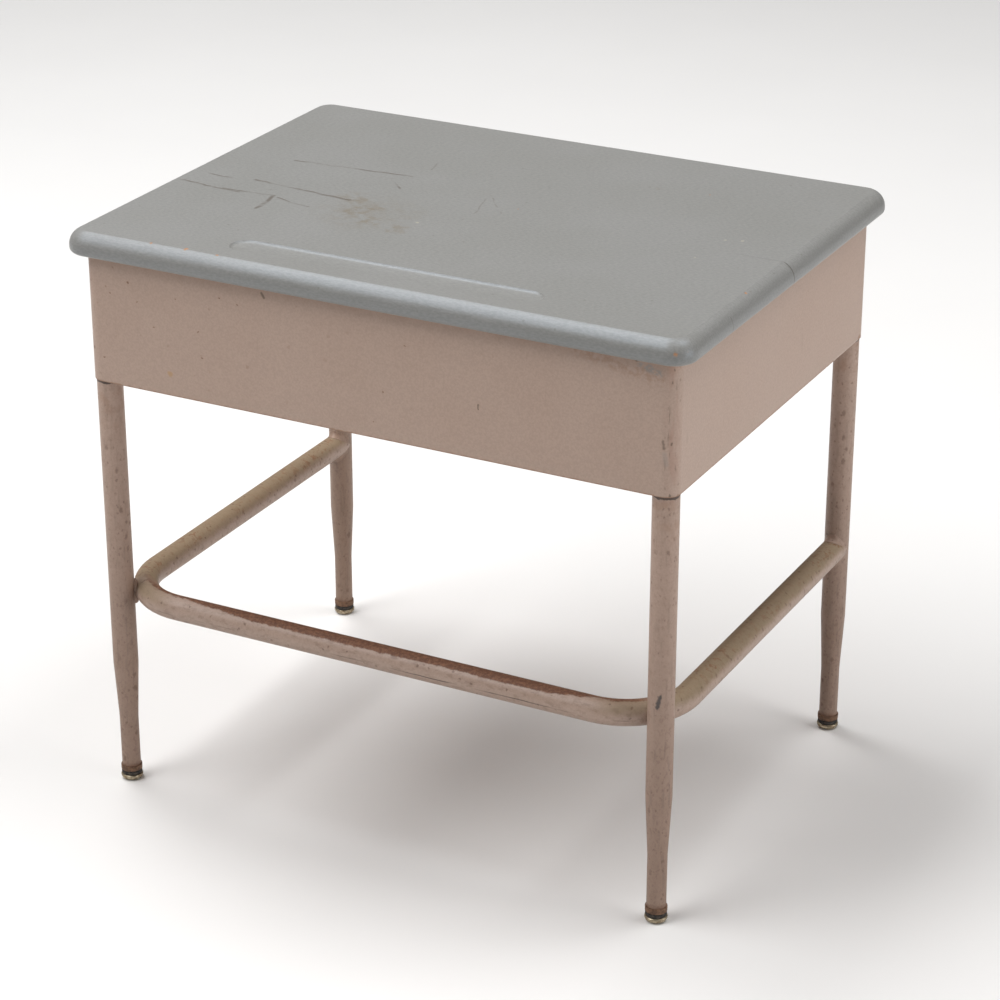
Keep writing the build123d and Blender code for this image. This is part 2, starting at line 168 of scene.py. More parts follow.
class Graph:
    """A procedural material. Its methods add nodes, and most return the socket that leaves them."""

    def __init__(self, name):
        self.material = bpy.data.materials.new(name)
        self.material.use_nodes = True
        tree = self.material.node_tree
        self.nodes, self.links = tree.nodes, tree.links
        self.shader = self.nodes["Principled BSDF"]
        self.point = self.nodes.new("ShaderNodeTexCoord").outputs["Object"]
        self.x, self.y, self.z = self.parts(self.point)
        self.normal = self.nodes.new("ShaderNodeNewGeometry").outputs["Normal"]
        self.up = self.parts(self.normal)[2]
        self.seed = 0.0

    def feed(self, socket, value):
        """Joins a socket to another socket, or sets its own value."""
        if isinstance(value, bpy.types.NodeSocket):
            self.links.new(value, socket)
        elif socket.type == "RGBA":
            socket.default_value = (*value, 1.0)
        else:
            socket.default_value = value

    def parts(self, vector):
        """The X, Y and Z of a vector."""
        node = self.nodes.new("ShaderNodeSeparateXYZ")
        self.feed(node.inputs[0], vector)
        return node.outputs[0], node.outputs[1], node.outputs[2]

    def math(self, operation, *values, clamp=False):
        """Result of a Math node."""
        node = self.nodes.new("ShaderNodeMath")
        node.operation = operation
        node.use_clamp = clamp
        for socket, value in zip(node.inputs, values):
            self.feed(socket, value)
        return node.outputs[0]

    def vector(self, operation, *values):
        """A Vector Math node."""
        node = self.nodes.new("ShaderNodeVectorMath")
        node.operation = operation
        for socket, value in zip(node.inputs, values):
            self.feed(socket, value)
        return node

    def total(self, *values):
        """Sum of any number of values."""
        result = values[0]
        for value in values[1:]:
            result = self.math("ADD", result, value)
        return result

    def times(self, *values):
        """Product of any number of values."""
        result = values[0]
        for value in values[1:]:
            result = self.math("MULTIPLY", result, value)
        return result

    def either(self, *masks):
        """Largest of several masks."""
        result = masks[0]
        for mask in masks[1:]:
            result = self.math("MAXIMUM", result, mask)
        return result

    def ramp(self, value, start, end, first=0.0, last=1.0):
        """Goes smoothly from first to last while value goes from start to end."""
        node = self.nodes.new("ShaderNodeMapRange")
        node.interpolation_type = "SMOOTHSTEP"
        for socket, number in zip(node.inputs, (value, start, end, first, last)):
            self.feed(socket, number)
        return node.outputs[0]

    def colour(self, share, first, second):
        """Mix of two colours."""
        node = self.nodes.new("ShaderNodeMix")
        node.data_type = "RGBA"
        self.feed(node.inputs["Factor"], share)
        sockets = [s for s in node.inputs if s.type == "RGBA"]
        self.feed(sockets[0], first)
        self.feed(sockets[1], second)
        return next(s for s in node.outputs if s.type == "RGBA")

    def cover(self, colour, *layers):
        """A colour with layers of (mask, strength, colour) laid over it, first to last."""
        for mask, strength, paint_colour in layers:
            colour = self.colour(self.times(mask, strength), colour, paint_colour)
        return colour

    def shade(self, colour, factor):
        """A colour made lighter or darker by a factor."""
        node = self.vector("SCALE", colour)
        self.feed(node.inputs["Scale"], factor)
        return node.outputs[0]

    def noise(self, size, detail=3.0, rough=0.55, stretch=(1.0, 1.0, 1.0)):
        """Noise about 0.5 whose features are size metres across, longer along each axis by stretch."""
        self.seed += SEED_STEP
        scaled = self.vector(
            "MULTIPLY_ADD",
            self.point,
            [1.0 / (size * s) for s in stretch],
            (self.seed, self.seed * 0.7, self.seed * 1.3),
        ).outputs[0]
        node = self.nodes.new("ShaderNodeTexNoise")
        self.feed(node.inputs["Vector"], scaled)
        node.inputs["Scale"].default_value = 1.0
        node.inputs["Detail"].default_value = detail
        node.inputs["Roughness"].default_value = rough
        return node.outputs[0]

    def wobbled(self, size, amount):
        """The surface point, moved about by up to amount."""
        node = self.nodes.new("ShaderNodeTexNoise")
        node.inputs["Scale"].default_value = 1.0 / size
        self.feed(node.inputs["Vector"], self.point)
        centred = self.vector("SUBTRACT", node.outputs["Color"], (0.5, 0.5, 0.5)).outputs[0]
        return self.vector("MULTIPLY_ADD", centred, (2 * amount,) * 3, self.point).outputs[0]

    def specks(self, cell, radius, share, point, stretch=(1.0, 1.0, 1.0)):
        """Round marks of up to that radius, in a share of cells of that size."""
        self.seed += SEED_STEP
        scaled = self.vector(
            "MULTIPLY_ADD", point, [1.0 / (cell * s) for s in stretch], (self.seed,) * 3
        ).outputs[0]
        node = self.nodes.new("ShaderNodeTexVoronoi")
        self.feed(node.inputs["Vector"], scaled)
        node.inputs["Scale"].default_value = 1.0
        chosen = self.math("LESS_THAN", self.parts(node.outputs["Color"])[0], share)
        return self.times(self.ramp(node.outputs["Distance"], radius / cell, 0.4 * radius / cell), chosen)

    def scratch(self, point, start, end, width):
        """1 on a straight line between two points, fading over width to its sides."""
        start, run = Vector(start), Vector(end) - Vector(start)
        offset = self.vector("SUBTRACT", point, start).outputs[0]
        along = self.vector("DOT_PRODUCT", offset, run).outputs["Value"]
        share = self.math("DIVIDE", along, run.length_squared, clamp=True)
        foot = self.vector("SCALE", run)
        self.feed(foot.inputs["Scale"], share)
        away = self.vector("DISTANCE", offset, foot.outputs[0]).outputs["Value"]
        return self.ramp(away, width, 0.25 * width)

    def spot(self, point, centre, radius):
        """1 round a point, fading out at radius."""
        away = self.vector("DISTANCE", point, centre).outputs["Value"]
        return self.ramp(away, radius, 0.4 * radius)

    def finish(self, colour, roughness, height=None, metallic=0.0):
        """Wires the shader: colour, roughness, relief in metres and metalness."""
        self.feed(self.shader.inputs["Base Color"], colour)
        self.feed(self.shader.inputs["Roughness"], roughness)
        self.feed(self.shader.inputs["Metallic"], metallic)
        if height is not None:
            bump = self.nodes.new("ShaderNodeBump")
            bump.inputs["Strength"].default_value = 1.0
            bump.inputs["Distance"].default_value = 1.0
            self.feed(bump.inputs["Height"], height)
            self.links.new(bump.outputs[0], self.shader.inputs["Normal"])
        return self.material


# ---- places of marks --------------------------------------------------------------------
# The tables of marks, and these two functions, take millimetres on the desk's own axes.
def top_point(x, y, depth=0.0):
    """Point of the top, that far below its flat."""
    return (x * MM, y * MM, TOP_Z - depth * MM)


def rear_point(x, z, inset=0.0):
    """Point of the book box's rear face, that far in from its flat."""
    return (x * MM, SHELL_HIGH.y - inset * MM, z * MM)


# ---- the top's paint --------------------------------------------------------------------
GREY = (0.241, 0.237, 0.226)
GREY_DARK = (0.232, 0.229, 0.215)
GREY_PALE = (0.249, 0.245, 0.236)
SHEEN_TINT = (0.68, 0.83, 1.0)
CRACK = (0.095, 0.070, 0.050)
STAIN_BROWN = (0.185, 0.150, 0.105)
DUST_PALE = (0.50, 0.46, 0.36)
BARE_WOOD = (0.42, 0.20, 0.085)
OLD_WOOD = (0.30, 0.21, 0.13)
OLD_WOOD_PALE = (0.38, 0.27, 0.17)
TOP_CRACKS = (
    # start x, y, end x, y, width
    (224.0, -44.5, 103.0, -50.2, 2.2),
    (273.5, 26.5, 250.5, 28.0, 2.0),
    (290.0, 55.5, 220.5, 61.9, 2.2),
    (225.5, 24.6, 120.0, 34.7, 2.6),
    (239.0, 58.4, 186.0, 56.8, 2.2),
    (186.0, 56.8, 182.7, 93.5, 3.0),
    (180.0, 60.0, 143.5, 69.0, 1.8),
    (108.0, -28.5, 95.0, -14.0, 1.6),
)
TOP_SCRATCHES = (
    # start x, y, end x, y, width
    (15.5, -40.7, -19.5, 4.0, 1.3),
    (15.5, -40.7, 0.0, 19.0, 1.1),
    (101.3, -100.0, 96.7, -77.6, 1.5),
)
TOP_STAINS = (
    # x, y, radius
    (120.0, 28.0, 20.0),
    (98.0, 55.0, 24.0),
    (74.0, 77.0, 15.0),
    (40.0, 86.0, 14.0),
    (-112.0, -122.0, 6.0),
)
STAIN_HAZE = (83.0, 60.0)
STAIN_HAZE_RADIUS = 62 * MM
TOP_CHIPS = (
    # x, y, depth, radius
    (214.0, 216.6, 0.0, 2.2),
    (178.0, 215.5, 0.0, 2.8),
    (146.0, 216.6, 0.0, 1.6),
    (-291.4, 223.3, 10.0, 3.0),
    (-298.1, 216.2, 9.3, 2.2),
    (-295.0, 91.0, 0.7, 1.6),
    (-27.7, -13.6, 0.0, 1.3),
    (-164.2, -129.8, 0.0, 1.3),
)
PALE_SPECKS = (
    # x, y, depth, radius
    (-226.4, -22.2, 0.0, 1.8),
    (-241.0, -26.9, 0.0, 2.0),
    (-221.8, 31.6, 0.0, 1.4),
    (34.7, 61.1, 0.0, 2.0),
    (-300.8, 211.5, 9.0, 1.4),
)
PAINTED_BORDER = 14 * MM


def top_scores(g):
    """Cracks along the grain, broken here and there, and fainter scratches."""
    flat_top = g.ramp(g.z, TOP_Z - 3 * MM, TOP_Z - 1 * MM)
    broken = g.ramp(g.noise(14 * MM, detail=3), 0.34, 0.58, 0.30, 1.0)
    wavy = g.wobbled(24 * MM, 4 * MM)
    cracks, scratches = [
        g.either(*[
            g.scratch(wavy, top_point(x0, y0), top_point(x1, y1), width * MM)
            for x0, y0, x1, y1, width in lines
        ])
        for lines in (TOP_CRACKS, TOP_SCRATCHES)
    ]
    return g.times(cracks, broken, flat_top), scratches


def top_stain(g):
    """Stains with ragged edges, in a weaker haze."""
    loose = g.wobbled(12 * MM, 14 * MM)
    stains = g.either(*[g.spot(loose, top_point(x, y), radius * MM) for x, y, radius in TOP_STAINS])
    haze = g.spot(g.wobbled(25 * MM, 24 * MM), top_point(*STAIN_HAZE), STAIN_HAZE_RADIUS)
    ragged = g.ramp(g.noise(11 * MM, detail=6, rough=0.75), 0.36, 0.66)
    return g.times(g.total(stains, g.times(haze, 0.5)), ragged)


def top_seams(g):
    """The two board joints that show at the -X edge: one from the edge onto the top, one low on the edge."""
    fine_y = g.parts(g.wobbled(60 * MM, 1.2 * MM))[1]
    first_seam, second_seam = [
        g.ramp(g.math("ABSOLUTE", g.math("SUBTRACT", fine_y, y)), 0.9 * MM, 0.2 * MM) for y in SEAM_Y
    ]
    edge = g.ramp(g.x, -TOP_HALF_X + 12 * MM, -TOP_HALF_X + 8 * MM)
    beside_edge = g.times(g.ramp(g.x, -242 * MM, -262 * MM), 0.4)
    low_edge = g.times(g.ramp(g.z, TOP_Z - 4 * MM, TOP_Z - 8 * MM), g.ramp(g.x, -280 * MM, -290 * MM), 0.6)
    return g.either(g.times(first_seam, g.either(edge, beside_edge)), g.times(second_seam, low_edge))


def top_spots(g, spots, wobble):
    """Small marks, whose outlines stray by up to wobble."""
    torn = g.wobbled(3 * MM, wobble)
    return g.either(*[g.spot(torn, top_point(x, y, depth), radius * MM) for x, y, depth, radius in spots])


def bare_underside(g):
    """The unpainted wood below, inside a ragged border of paint."""
    inside = g.times(
        g.ramp(g.math("ABSOLUTE", g.x), TOP_HALF_X - PAINTED_BORDER, TOP_HALF_X - 2 * PAINTED_BORDER),
        g.ramp(g.math("ABSOLUTE", g.y), TOP_HALF_Y - PAINTED_BORDER, TOP_HALF_Y - 2 * PAINTED_BORDER),
    )
    ragged = g.ramp(g.total(inside, g.noise(8 * MM)), 0.9, 1.1)
    return g.times(g.math("LESS_THAN", g.up, -0.9), ragged)


def top_paint():
    """Satin grey over wood: grain and brush marks, cracks along the grain, chips, and bare wood below."""
    g = Graph("top_paint")
    grain = g.noise(2.5 * MM, detail=4, stretch=(14, 1, 1))
    brush = g.noise(1.5 * MM, detail=3, stretch=(2.5, 1, 1))
    cloud = g.noise(90 * MM, detail=4)
    cracks, scratches = top_scores(g)
    stains = top_stain(g)
    seams = top_seams(g)
    chips = top_spots(g, TOP_CHIPS, 2 * MM)
    dust = top_spots(g, PALE_SPECKS, 1.5 * MM)
    dirt = g.specks(16 * MM, 1.6 * MM, 0.30, g.point)
    below = bare_underside(g)

    colour = g.colour(g.ramp(cloud, 0.3, 0.7), GREY_DARK, GREY_PALE)
    colour = g.colour(0.6, colour, GREY)
    colour = g.shade(colour, g.ramp(brush, 0.32, 0.68, 0.92, 1.08))
    colour = g.cover(
        colour,
        (stains, 0.52, STAIN_BROWN),
        (dirt, 0.30, CRACK),
        (cracks, 0.62, CRACK),
        (scratches, 0.30, CRACK),
        (seams, 0.75, CRACK),
        (chips, 0.9, BARE_WOOD),
        (dust, 0.55, DUST_PALE),
    )
    colour = g.colour(below, colour, g.colour(grain, OLD_WOOD, OLD_WOOD_PALE))
    g.feed(g.shader.inputs["Specular Tint"], SHEEN_TINT)
    roughness = g.total(g.ramp(cloud, 0.3, 0.7, 0.39, 0.42), g.times(below, 0.35), g.times(chips, 0.3))
    height = g.total(
        g.times(grain, 0.10 * MM),
        g.times(brush, 0.15 * MM),
        g.times(cracks, -0.25 * MM),
        g.times(seams, -0.5 * MM),
        g.times(chips, -0.3 * MM),
    )
    return g.finish(colour, roughness, height)


# ---- the frame's enamel -----------------------------------------------------------------
ENAMEL = (0.416, 0.299, 0.238)
ENAMEL_WARM = (0.396, 0.277, 0.215)
ENAMEL_PALE = (0.436, 0.321, 0.261)
GRIME = (0.12, 0.085, 0.060)
RUST = (0.155, 0.066, 0.032)
RUST_PALE = (0.27, 0.135, 0.072)


def enamel(name):
    """A graph with the taupe enamel's colour, its fine relief and its cloudiness."""
    g = Graph(name)
    cloud = g.noise(70 * MM, detail=5)
    fine = g.noise(1.8 * MM, detail=3)
    colour = g.colour(g.ramp(cloud, 0.3, 0.7), ENAMEL_WARM, ENAMEL_PALE)
    colour = g.colour(0.65, colour, ENAMEL)
    colour = g.shade(colour, g.ramp(fine, 0.32, 0.68, 0.945, 1.055))
    peel = g.total(g.times(g.noise(3.5 * MM, detail=2), 0.035 * MM), g.times(fine, 0.012 * MM))
    return g, colour, peel, cloud


# ---- the book box -----------------------------------------------------------------------
WORN_RED = (0.34, 0.175, 0.125)
TAN = (0.42, 0.24, 0.09)
# Colour of a painted highlight on the box's lower edge.
HIGHLIGHT_PALE = (0.62, 0.54, 0.48)
REAR_SPECKS = (
    # x, z on the rear face, radius
    (242.0, 512.5, 1.6),
    (233.5, 496.1, 1.2),
    (216.7, 475.5, 1.3),
    (170.5, 479.0, 1.1),
    (167.5, 455.1, 1.3),
    (193.0, 505.9, 1.0),
    (147.1, 514.7, 1.1),
    (128.9, 511.4, 1.2),
    (261.9, 499.7, 1.1),
    (-37.7, 503.3, 1.1),
    (-15.5, 457.2, 1.1),
    (-5.1, 427.5, 1.0),
    (271.3, 437.1, 1.3),
)


def shell_specks(g, torn):
    """Specks of rust: placed ones on the rear face, and random ones, fewer low down and towards -X."""
    placed = g.either(*[g.spot(torn, rear_point(x, z), radius * MM) for x, z, radius in REAR_SPECKS])
    specks = g.either(
        g.times(g.specks(20 * MM, 2.4 * MM, 0.35, torn), 0.7),
        g.times(g.specks(9 * MM, 1.3 * MM, 0.30, torn), 0.5),
    )
    dirty_end = g.ramp(g.x, 20 * MM, 240 * MM, 0.35, 1.0)
    return g.either(g.times(specks, g.ramp(g.z, SHELL_LOW.z, SHELL_HIGH.z, 0.55, 1.0), dirty_end), placed)


def shell_edges(g):
    """A band under the top, darkened partly as painted shade under the overhang and partly as soiling, and
    the rusty lower edge.
    """
    wavy_z = g.total(g.z, g.times(g.noise(12 * MM, detail=4), 10 * MM))
    shade_and_soil_under_top = g.ramp(wavy_z, SHELL_HIGH.z - 9 * MM, SHELL_HIGH.z + 6 * MM)
    wavy_z = g.total(g.z, g.times(g.noise(5 * MM, detail=4), -2.4 * MM))
    return shade_and_soil_under_top, g.ramp(wavy_z, SHELL_LOW.z + 0.6 * MM, SHELL_LOW.z - 0.6 * MM)


def shell_corners(g, torn):
    """Dark scuffs and a reddish wear on the upright corners."""
    corner = g.times(
        g.ramp(g.math("ABSOLUTE", g.x), SHELL_HIGH.x - 13 * MM, SHELL_HIGH.x - 4 * MM),
        g.ramp(g.math("ABSOLUTE", g.y), SHELL_HIGH.y - 13 * MM, SHELL_HIGH.y - 4 * MM),
    )
    scuffs = g.times(corner, g.either(
        g.specks(4.5 * MM, 1.5 * MM, 0.34, torn, stretch=(1, 1, 1.5)),
        g.ramp(g.noise(3 * MM, detail=4, stretch=(1, 1, 6)), 0.60, 0.72),
    ))
    return scuffs, g.times(corner, g.ramp(g.noise(7 * MM, detail=4, stretch=(1, 1, 5)), 0.42, 0.62))


def shell_nicks(g, torn):
    """Dark nicks in the rear face."""
    corner_nick = g.scratch(torn, rear_point(-278.0, 462.8, 0.2), rear_point(-279.5, 456.6, 0.2), 1.8 * MM)
    return g.either(
        g.scratch(g.point, rear_point(103.5, 526.5), rear_point(101.2, 522.8), 1.9 * MM),
        g.scratch(torn, rear_point(-107.3, 463.0), rear_point(-107.3, 458.5), 1.2 * MM),
        g.times(corner_nick, 0.8),
        g.spot(torn, rear_point(-253.0, 530.0), 2.4 * MM),
    )


def shell_smears(g, torn):
    """Smears of the top's grey paint and a soiled band, near the rear face's -X end."""
    upper_smear = g.times(
        g.scratch(g.wobbled(5 * MM, 3 * MM), rear_point(-256.0, 526.5), rear_point(-274.0, 521.5), 4.0 * MM),
        g.ramp(g.noise(3 * MM, detail=4), 0.38, 0.52),
    )
    lower_smear = g.scratch(torn, rear_point(-279.5, 451.5, 0.2), rear_point(-281.5, 442.7, 0.5), 3.0 * MM)
    band = g.times(
        g.scratch(g.wobbled(9 * MM, 5 * MM), rear_point(-200.0, 530.0), rear_point(-276.0, 516.0), 9.0 * MM),
        g.ramp(g.noise(5 * MM, detail=5, rough=0.65), 0.42, 0.62),
    )
    return g.either(upper_smear, g.times(lower_smear, 0.35)), band


def shell_paint():
    """Enamel of the book box: specks, a band under the top darkened partly as painted shade and partly as
    soiling, scuffed corners, rusty lower edge.
    """
    g, colour, peel, cloud = enamel("shell_paint")
    torn = g.wobbled(3 * MM, 1.5 * MM)
    specks = shell_specks(g, torn)
    shade_and_soil_under_top, lower_edge = shell_edges(g)
    scuffs, reddened = shell_corners(g, torn)
    nicks = shell_nicks(g, torn)
    smears, soiled_band = shell_smears(g, torn)
    # A painted highlight: a pale line along the lower edge of the -X end, near the -Y corner.
    lower_edge_highlight = g.scratch(
        g.point, (SHELL_LOW.x, -137 * MM, SHELL_LOW.z), (SHELL_LOW.x, -195 * MM, SHELL_LOW.z), 2.2 * MM
    )
    tan_spot = g.spot(torn, rear_point(202.1, 433.6), 3.6 * MM)
    rust_spot = g.spot(torn, (SHELL_LOW.x, -199.3 * MM, 414 * MM), 5.0 * MM)
    streaks = g.times(
        g.ramp(g.noise(4 * MM, detail=4, stretch=(1, 1, 7)), 0.60, 0.75),
        g.ramp(g.noise(45 * MM, detail=2), 0.50, 0.62),
    )

    colour = g.cover(
        colour,
        # painted shade under the top's overhang, partly soiling
        (shade_and_soil_under_top, 0.30, RUST_PALE),
        (soiled_band, 0.40, RUST_PALE),
        (reddened, 0.30, WORN_RED),
        (streaks, 0.14, GRIME),
        (specks, 0.75, RUST),
        (g.either(scuffs, nicks), 0.75, GRIME),
        (smears, 0.7, GREY),
        (tan_spot, 0.6, TAN),
        (g.either(lower_edge, rust_spot), 0.7, RUST_PALE),
        # painted highlight on the lower edge
        (lower_edge_highlight, 0.7, HIGHLIGHT_PALE),
    )
    worn = g.either(specks, scuffs, nicks, lower_edge)
    roughness = g.total(g.ramp(cloud, 0.3, 0.7, 0.42, 0.52), g.times(worn, 0.3))
    height = g.total(peel, g.times(g.noise(55 * MM, detail=2), 0.5 * MM), g.times(worn, -0.12 * MM))
    return g.finish(colour, roughness, height)


# ---- the legs ---------------------------------------------------------------------------
LEG_WARM = (0.33, 0.20, 0.14)
LEG_SOILED = (0.27, 0.185, 0.135)
LEG_LOW = (0.23, 0.14, 0.095)
LEG_FRONT_RIGHT = (0.23, 0.15, 0.10)
LEG_MOTTLE = (0.17, 0.095, 0.068)
LEG_SPECK = (0.105, 0.055, 0.038)
SCUFF_BLACK = (0.03, 0.028, 0.03)
JOINT_BROWN = (0.05, 0.028, 0.020)
LEG_SCUFF = ((-280.5, 212.7, 227.5), (-278.0, 213.3, 216.5))


def leg_specks(g, torn):
    """Dark specks of two sizes, in patches."""
    specks = g.either(
        g.times(g.specks(4.5 * MM, 1.3 * MM, 0.55, torn, stretch=(1, 1, 1.5)), 0.75),
        g.times(g.specks(9 * MM, 2.6 * MM, 0.35, torn, stretch=(1, 1, 1.6)), 0.85),
    )
    return g.times(specks, g.ramp(g.noise(30 * MM, detail=2, stretch=(1, 1, 2)), 0.32, 0.62, 0.35, 1.0))


def leg_ends(g):
    """Rust below the book box, the dark line where the leg meets it, and rust above the glide."""
    at_top = g.times(
        g.ramp(g.z, SHELL_LOW.z - 70 * MM, SHELL_LOW.z - 4 * MM),
        g.ramp(g.noise(12 * MM, detail=4), 0.45, 0.68),
    )
    wavy_z = g.total(g.z, g.times(g.noise(7 * MM, detail=3), 4.6 * MM))
    joint_line = g.ramp(wavy_z, SHELL_LOW.z - 0.4 * MM, SHELL_LOW.z + 0.4 * MM)
    wavy_z = g.total(g.z, g.times(g.noise(4 * MM, detail=4), 8 * MM))
    return at_top, joint_line, g.ramp(wavy_z, 26 * MM, 16 * MM)


def leg_paint():
    """Enamel of the legs: streaks, knocks and specks, darker towards the floor, with more soiling and
    streaks low down.
    """
    g, colour, peel, cloud = enamel("leg_paint")
    torn = g.wobbled(3 * MM, 1.6 * MM)
    low = g.ramp(g.z, 420 * MM, 30 * MM)

    def downwards(at_top, at_floor):
        return g.ramp(low, 0, 1, at_top, at_floor)

    specks = leg_specks(g, torn)
    streaks = g.ramp(g.noise(3.5 * MM, detail=4, stretch=(1, 1, 9)), 0.52, 0.70)
    streaks = g.times(streaks, downwards(0.5, 0.85))
    soiled = g.ramp(g.noise(16 * MM, detail=5, rough=0.65), 0.35, 0.75, 0.0, 0.5)
    front_right = g.times(g.ramp(g.x, 100 * MM, 200 * MM), g.ramp(g.y, -100 * MM, -200 * MM))
    rusty_top, joint_line, rusty_foot = leg_ends(g)
    scuff = g.scratch(torn, *[Vector(point) * MM for point in LEG_SCUFF], 2.6 * MM)
    mottle = g.ramp(g.noise(3.2 * MM, detail=5, rough=0.75, stretch=(1, 1, 1.6)), 0.50, 0.64)

    # Darker towards the floor.
    colour = g.shade(colour, downwards(1.0, 0.90))
    colour = g.colour(0.14, colour, LEG_WARM)
    colour = g.cover(
        colour,
        (soiled, downwards(0.35, 1.0), LEG_SOILED),
        # darker towards the floor, and the leg at +X, -Y darker all over
        (low, 0.50, LEG_LOW),
        (front_right, 0.40, LEG_FRONT_RIGHT),
        (streaks, 0.34, GRIME),
        (rusty_top, 0.35, RUST_PALE),
        (mottle, downwards(0.22, 0.42), LEG_MOTTLE),
        (specks, 0.52, LEG_SPECK),
        (scuff, 0.85, SCUFF_BLACK),
        (joint_line, 0.90, JOINT_BROWN),
        (rusty_foot, 0.8, RUST),
    )
    worn = g.either(specks, rusty_foot)
    roughness = g.total(g.ramp(cloud, 0.3, 0.7, 0.42, 0.54), g.times(worn, 0.3))
    height = g.total(peel, g.times(g.noise(14 * MM, detail=2), 0.12 * MM), g.times(worn, -0.12 * MM))
    return g.finish(colour, roughness, height)


# ---- the foot rail ----------------------------------------------------------------------
# Colour of the painted shade on the rail's underside.
RAIL_UNDERSIDE_SHADE = (0.25, 0.17, 0.125)
RAIL_SCUFFED = (0.24, 0.160, 0.120)
RAIL_SHADE = 0.93
OLIVE = (0.215, 0.160, 0.085)
SEAM_DARK = (0.07, 0.040, 0.030)
RAIL_SPECK = (0.13, 0.065, 0.042)
TRODDEN_RUST = (0.125, 0.050, 0.026)
TRODDEN_RUST_PALE = (0.235, 0.105, 0.056)


def rail_rust(g, rear_run):
    """Rust on the rear run, on top and towards the sitter, and further round it near the middle."""
    ragged = g.total(
        g.times(g.noise(5 * MM, detail=6, rough=0.7, stretch=(1.6, 1.6, 1)), 0.50),
        g.times(g.noise(60 * MM, detail=2), 0.30),
    )
    middle = g.times(g.ramp(g.x, 225 * MM, 110 * MM), g.ramp(g.x, -225 * MM, -165 * MM))
    rearward = g.parts(g.normal)[1]
    trodden = g.total(g.times(g.up, 0.86), g.times(rearward, -0.50))
    return g.times(rear_run, g.ramp(g.total(trodden, ragged, g.times(middle, 0.50)), 1.16, 1.30))


def rail_grime(g, rear_run, side_run):
    """Grime on the upper side of the side runs and the bends."""
    bends = g.times(rear_run, g.ramp(g.math("ABSOLUTE", g.x), 205 * MM, 245 * MM))
    soiled = g.either(side_run, g.times(bends, 0.8))
    return g.times(soiled, g.ramp(g.total(g.up, g.times(g.noise(9 * MM, detail=4), 0.5)), 0.25, 0.95))


def rail_seam(g, rear_run):
    """The tube's own weld seam, a broken dark line just below the middle of the rear run."""
    seam_z = g.math("SUBTRACT", g.total(g.z, g.times(g.noise(30 * MM), 1.6 * MM)), RAIL_Z - 1.4 * MM)
    seam = g.ramp(g.math("ABSOLUTE", seam_z), 0.9 * MM, 0.3 * MM)
    return g.times(seam, rear_run, g.ramp(g.noise(20 * MM, detail=3, stretch=(4, 1, 1)), 0.46, 0.60))


def rail_paint():
    """Enamel of the foot rail, worn off the rear run by shoes, grimy and rusty on the side runs, with
    painted shade on its underside.
    """
    g, colour, peel, cloud = enamel("rail_paint")
    torn = g.wobbled(3 * MM, 1.6 * MM)
    rear_run = g.ramp(g.y, RAIL_REAR_Y - 30 * MM, RAIL_REAR_Y - 8 * MM)
    side_run = g.math("SUBTRACT", 1.0, rear_run)
    rust = rail_rust(g, rear_run)
    pale_rust = g.ramp(g.noise(3 * MM, detail=5, rough=0.7), 0.40, 0.66)
    patches = g.times(
        g.ramp(g.noise(7 * MM, detail=6, rough=0.72), 0.50, 0.62),
        g.ramp(g.noise(60 * MM, detail=2), 0.36, 0.60, 0.25, 1.0),
        g.ramp(g.up, 0.25, 0.75),
    )
    grime = rail_grime(g, rear_run, side_run)
    seam = rail_seam(g, rear_run)
    scuffed = g.ramp(g.noise(4 * MM, detail=5, rough=0.7, stretch=(2.2, 1, 1)), 0.48, 0.68)
    specks = g.either(
        g.specks(6 * MM, 1.7 * MM, 0.35, torn),
        g.times(g.specks(11 * MM, 2.8 * MM, 0.30, torn, stretch=(2, 1, 1)), 0.8),
    )

    colour = g.cover(
        g.shade(colour, RAIL_SHADE),
        # painted shade: the downward-facing side darker
        (g.ramp(g.up, -0.1, -0.9), 0.5, RAIL_UNDERSIDE_SHADE),
        (scuffed, 0.60, RAIL_SCUFFED),
        (grime, 0.72, OLIVE),
        (g.times(patches, side_run), 0.75, g.colour(pale_rust, RUST, RUST_PALE)),
        (seam, 0.75, SEAM_DARK),
        (specks, 0.60, RAIL_SPECK),
        (rust, 0.95, g.colour(pale_rust, TRODDEN_RUST, TRODDEN_RUST_PALE)),
    )
    roughness = g.total(g.ramp(cloud, 0.3, 0.7, 0.42, 0.52), g.times(g.either(rust, grime), 0.26))
    height = g.total(
        peel,
        g.times(g.either(rust, specks), -0.16 * MM),
        g.times(rust, pale_rust, 0.10 * MM),
        g.times(g.noise(14 * MM, detail=2), 0.12 * MM),
    )
    return g.finish(colour, roughness, height)


# ---- small parts ------------------------------------------------------------------------
SOCKET_BROWN = (0.085, 0.042, 0.024)
SOCKET_RUST = (0.24, 0.135, 0.080)
NICKEL = (0.50, 0.43, 0.31)
NICKEL_STAINED = (0.22, 0.16, 0.10)
NICKEL_RUBBED = (0.60, 0.58, 0.53)
RUBBER = (0.022, 0.020, 0.019)
RUBBER_DUST = (0.12, 0.095, 0.072)
ZINC = (0.46, 0.46, 0.45)
ZINC_BLOOM = (0.30, 0.29, 0.26)


def socket_steel():
    """Pressed steel gone brown with rust."""
    g = Graph("socket_steel")
    patches = g.ramp(g.noise(3 * MM, detail=5, rough=0.7), 0.35, 0.65)
    colour = g.colour(patches, SOCKET_BROWN, SOCKET_RUST)
    return g.finish(colour, g.ramp(patches, 0, 1, 0.55, 0.8), g.times(patches, 0.10 * MM), 0.25)


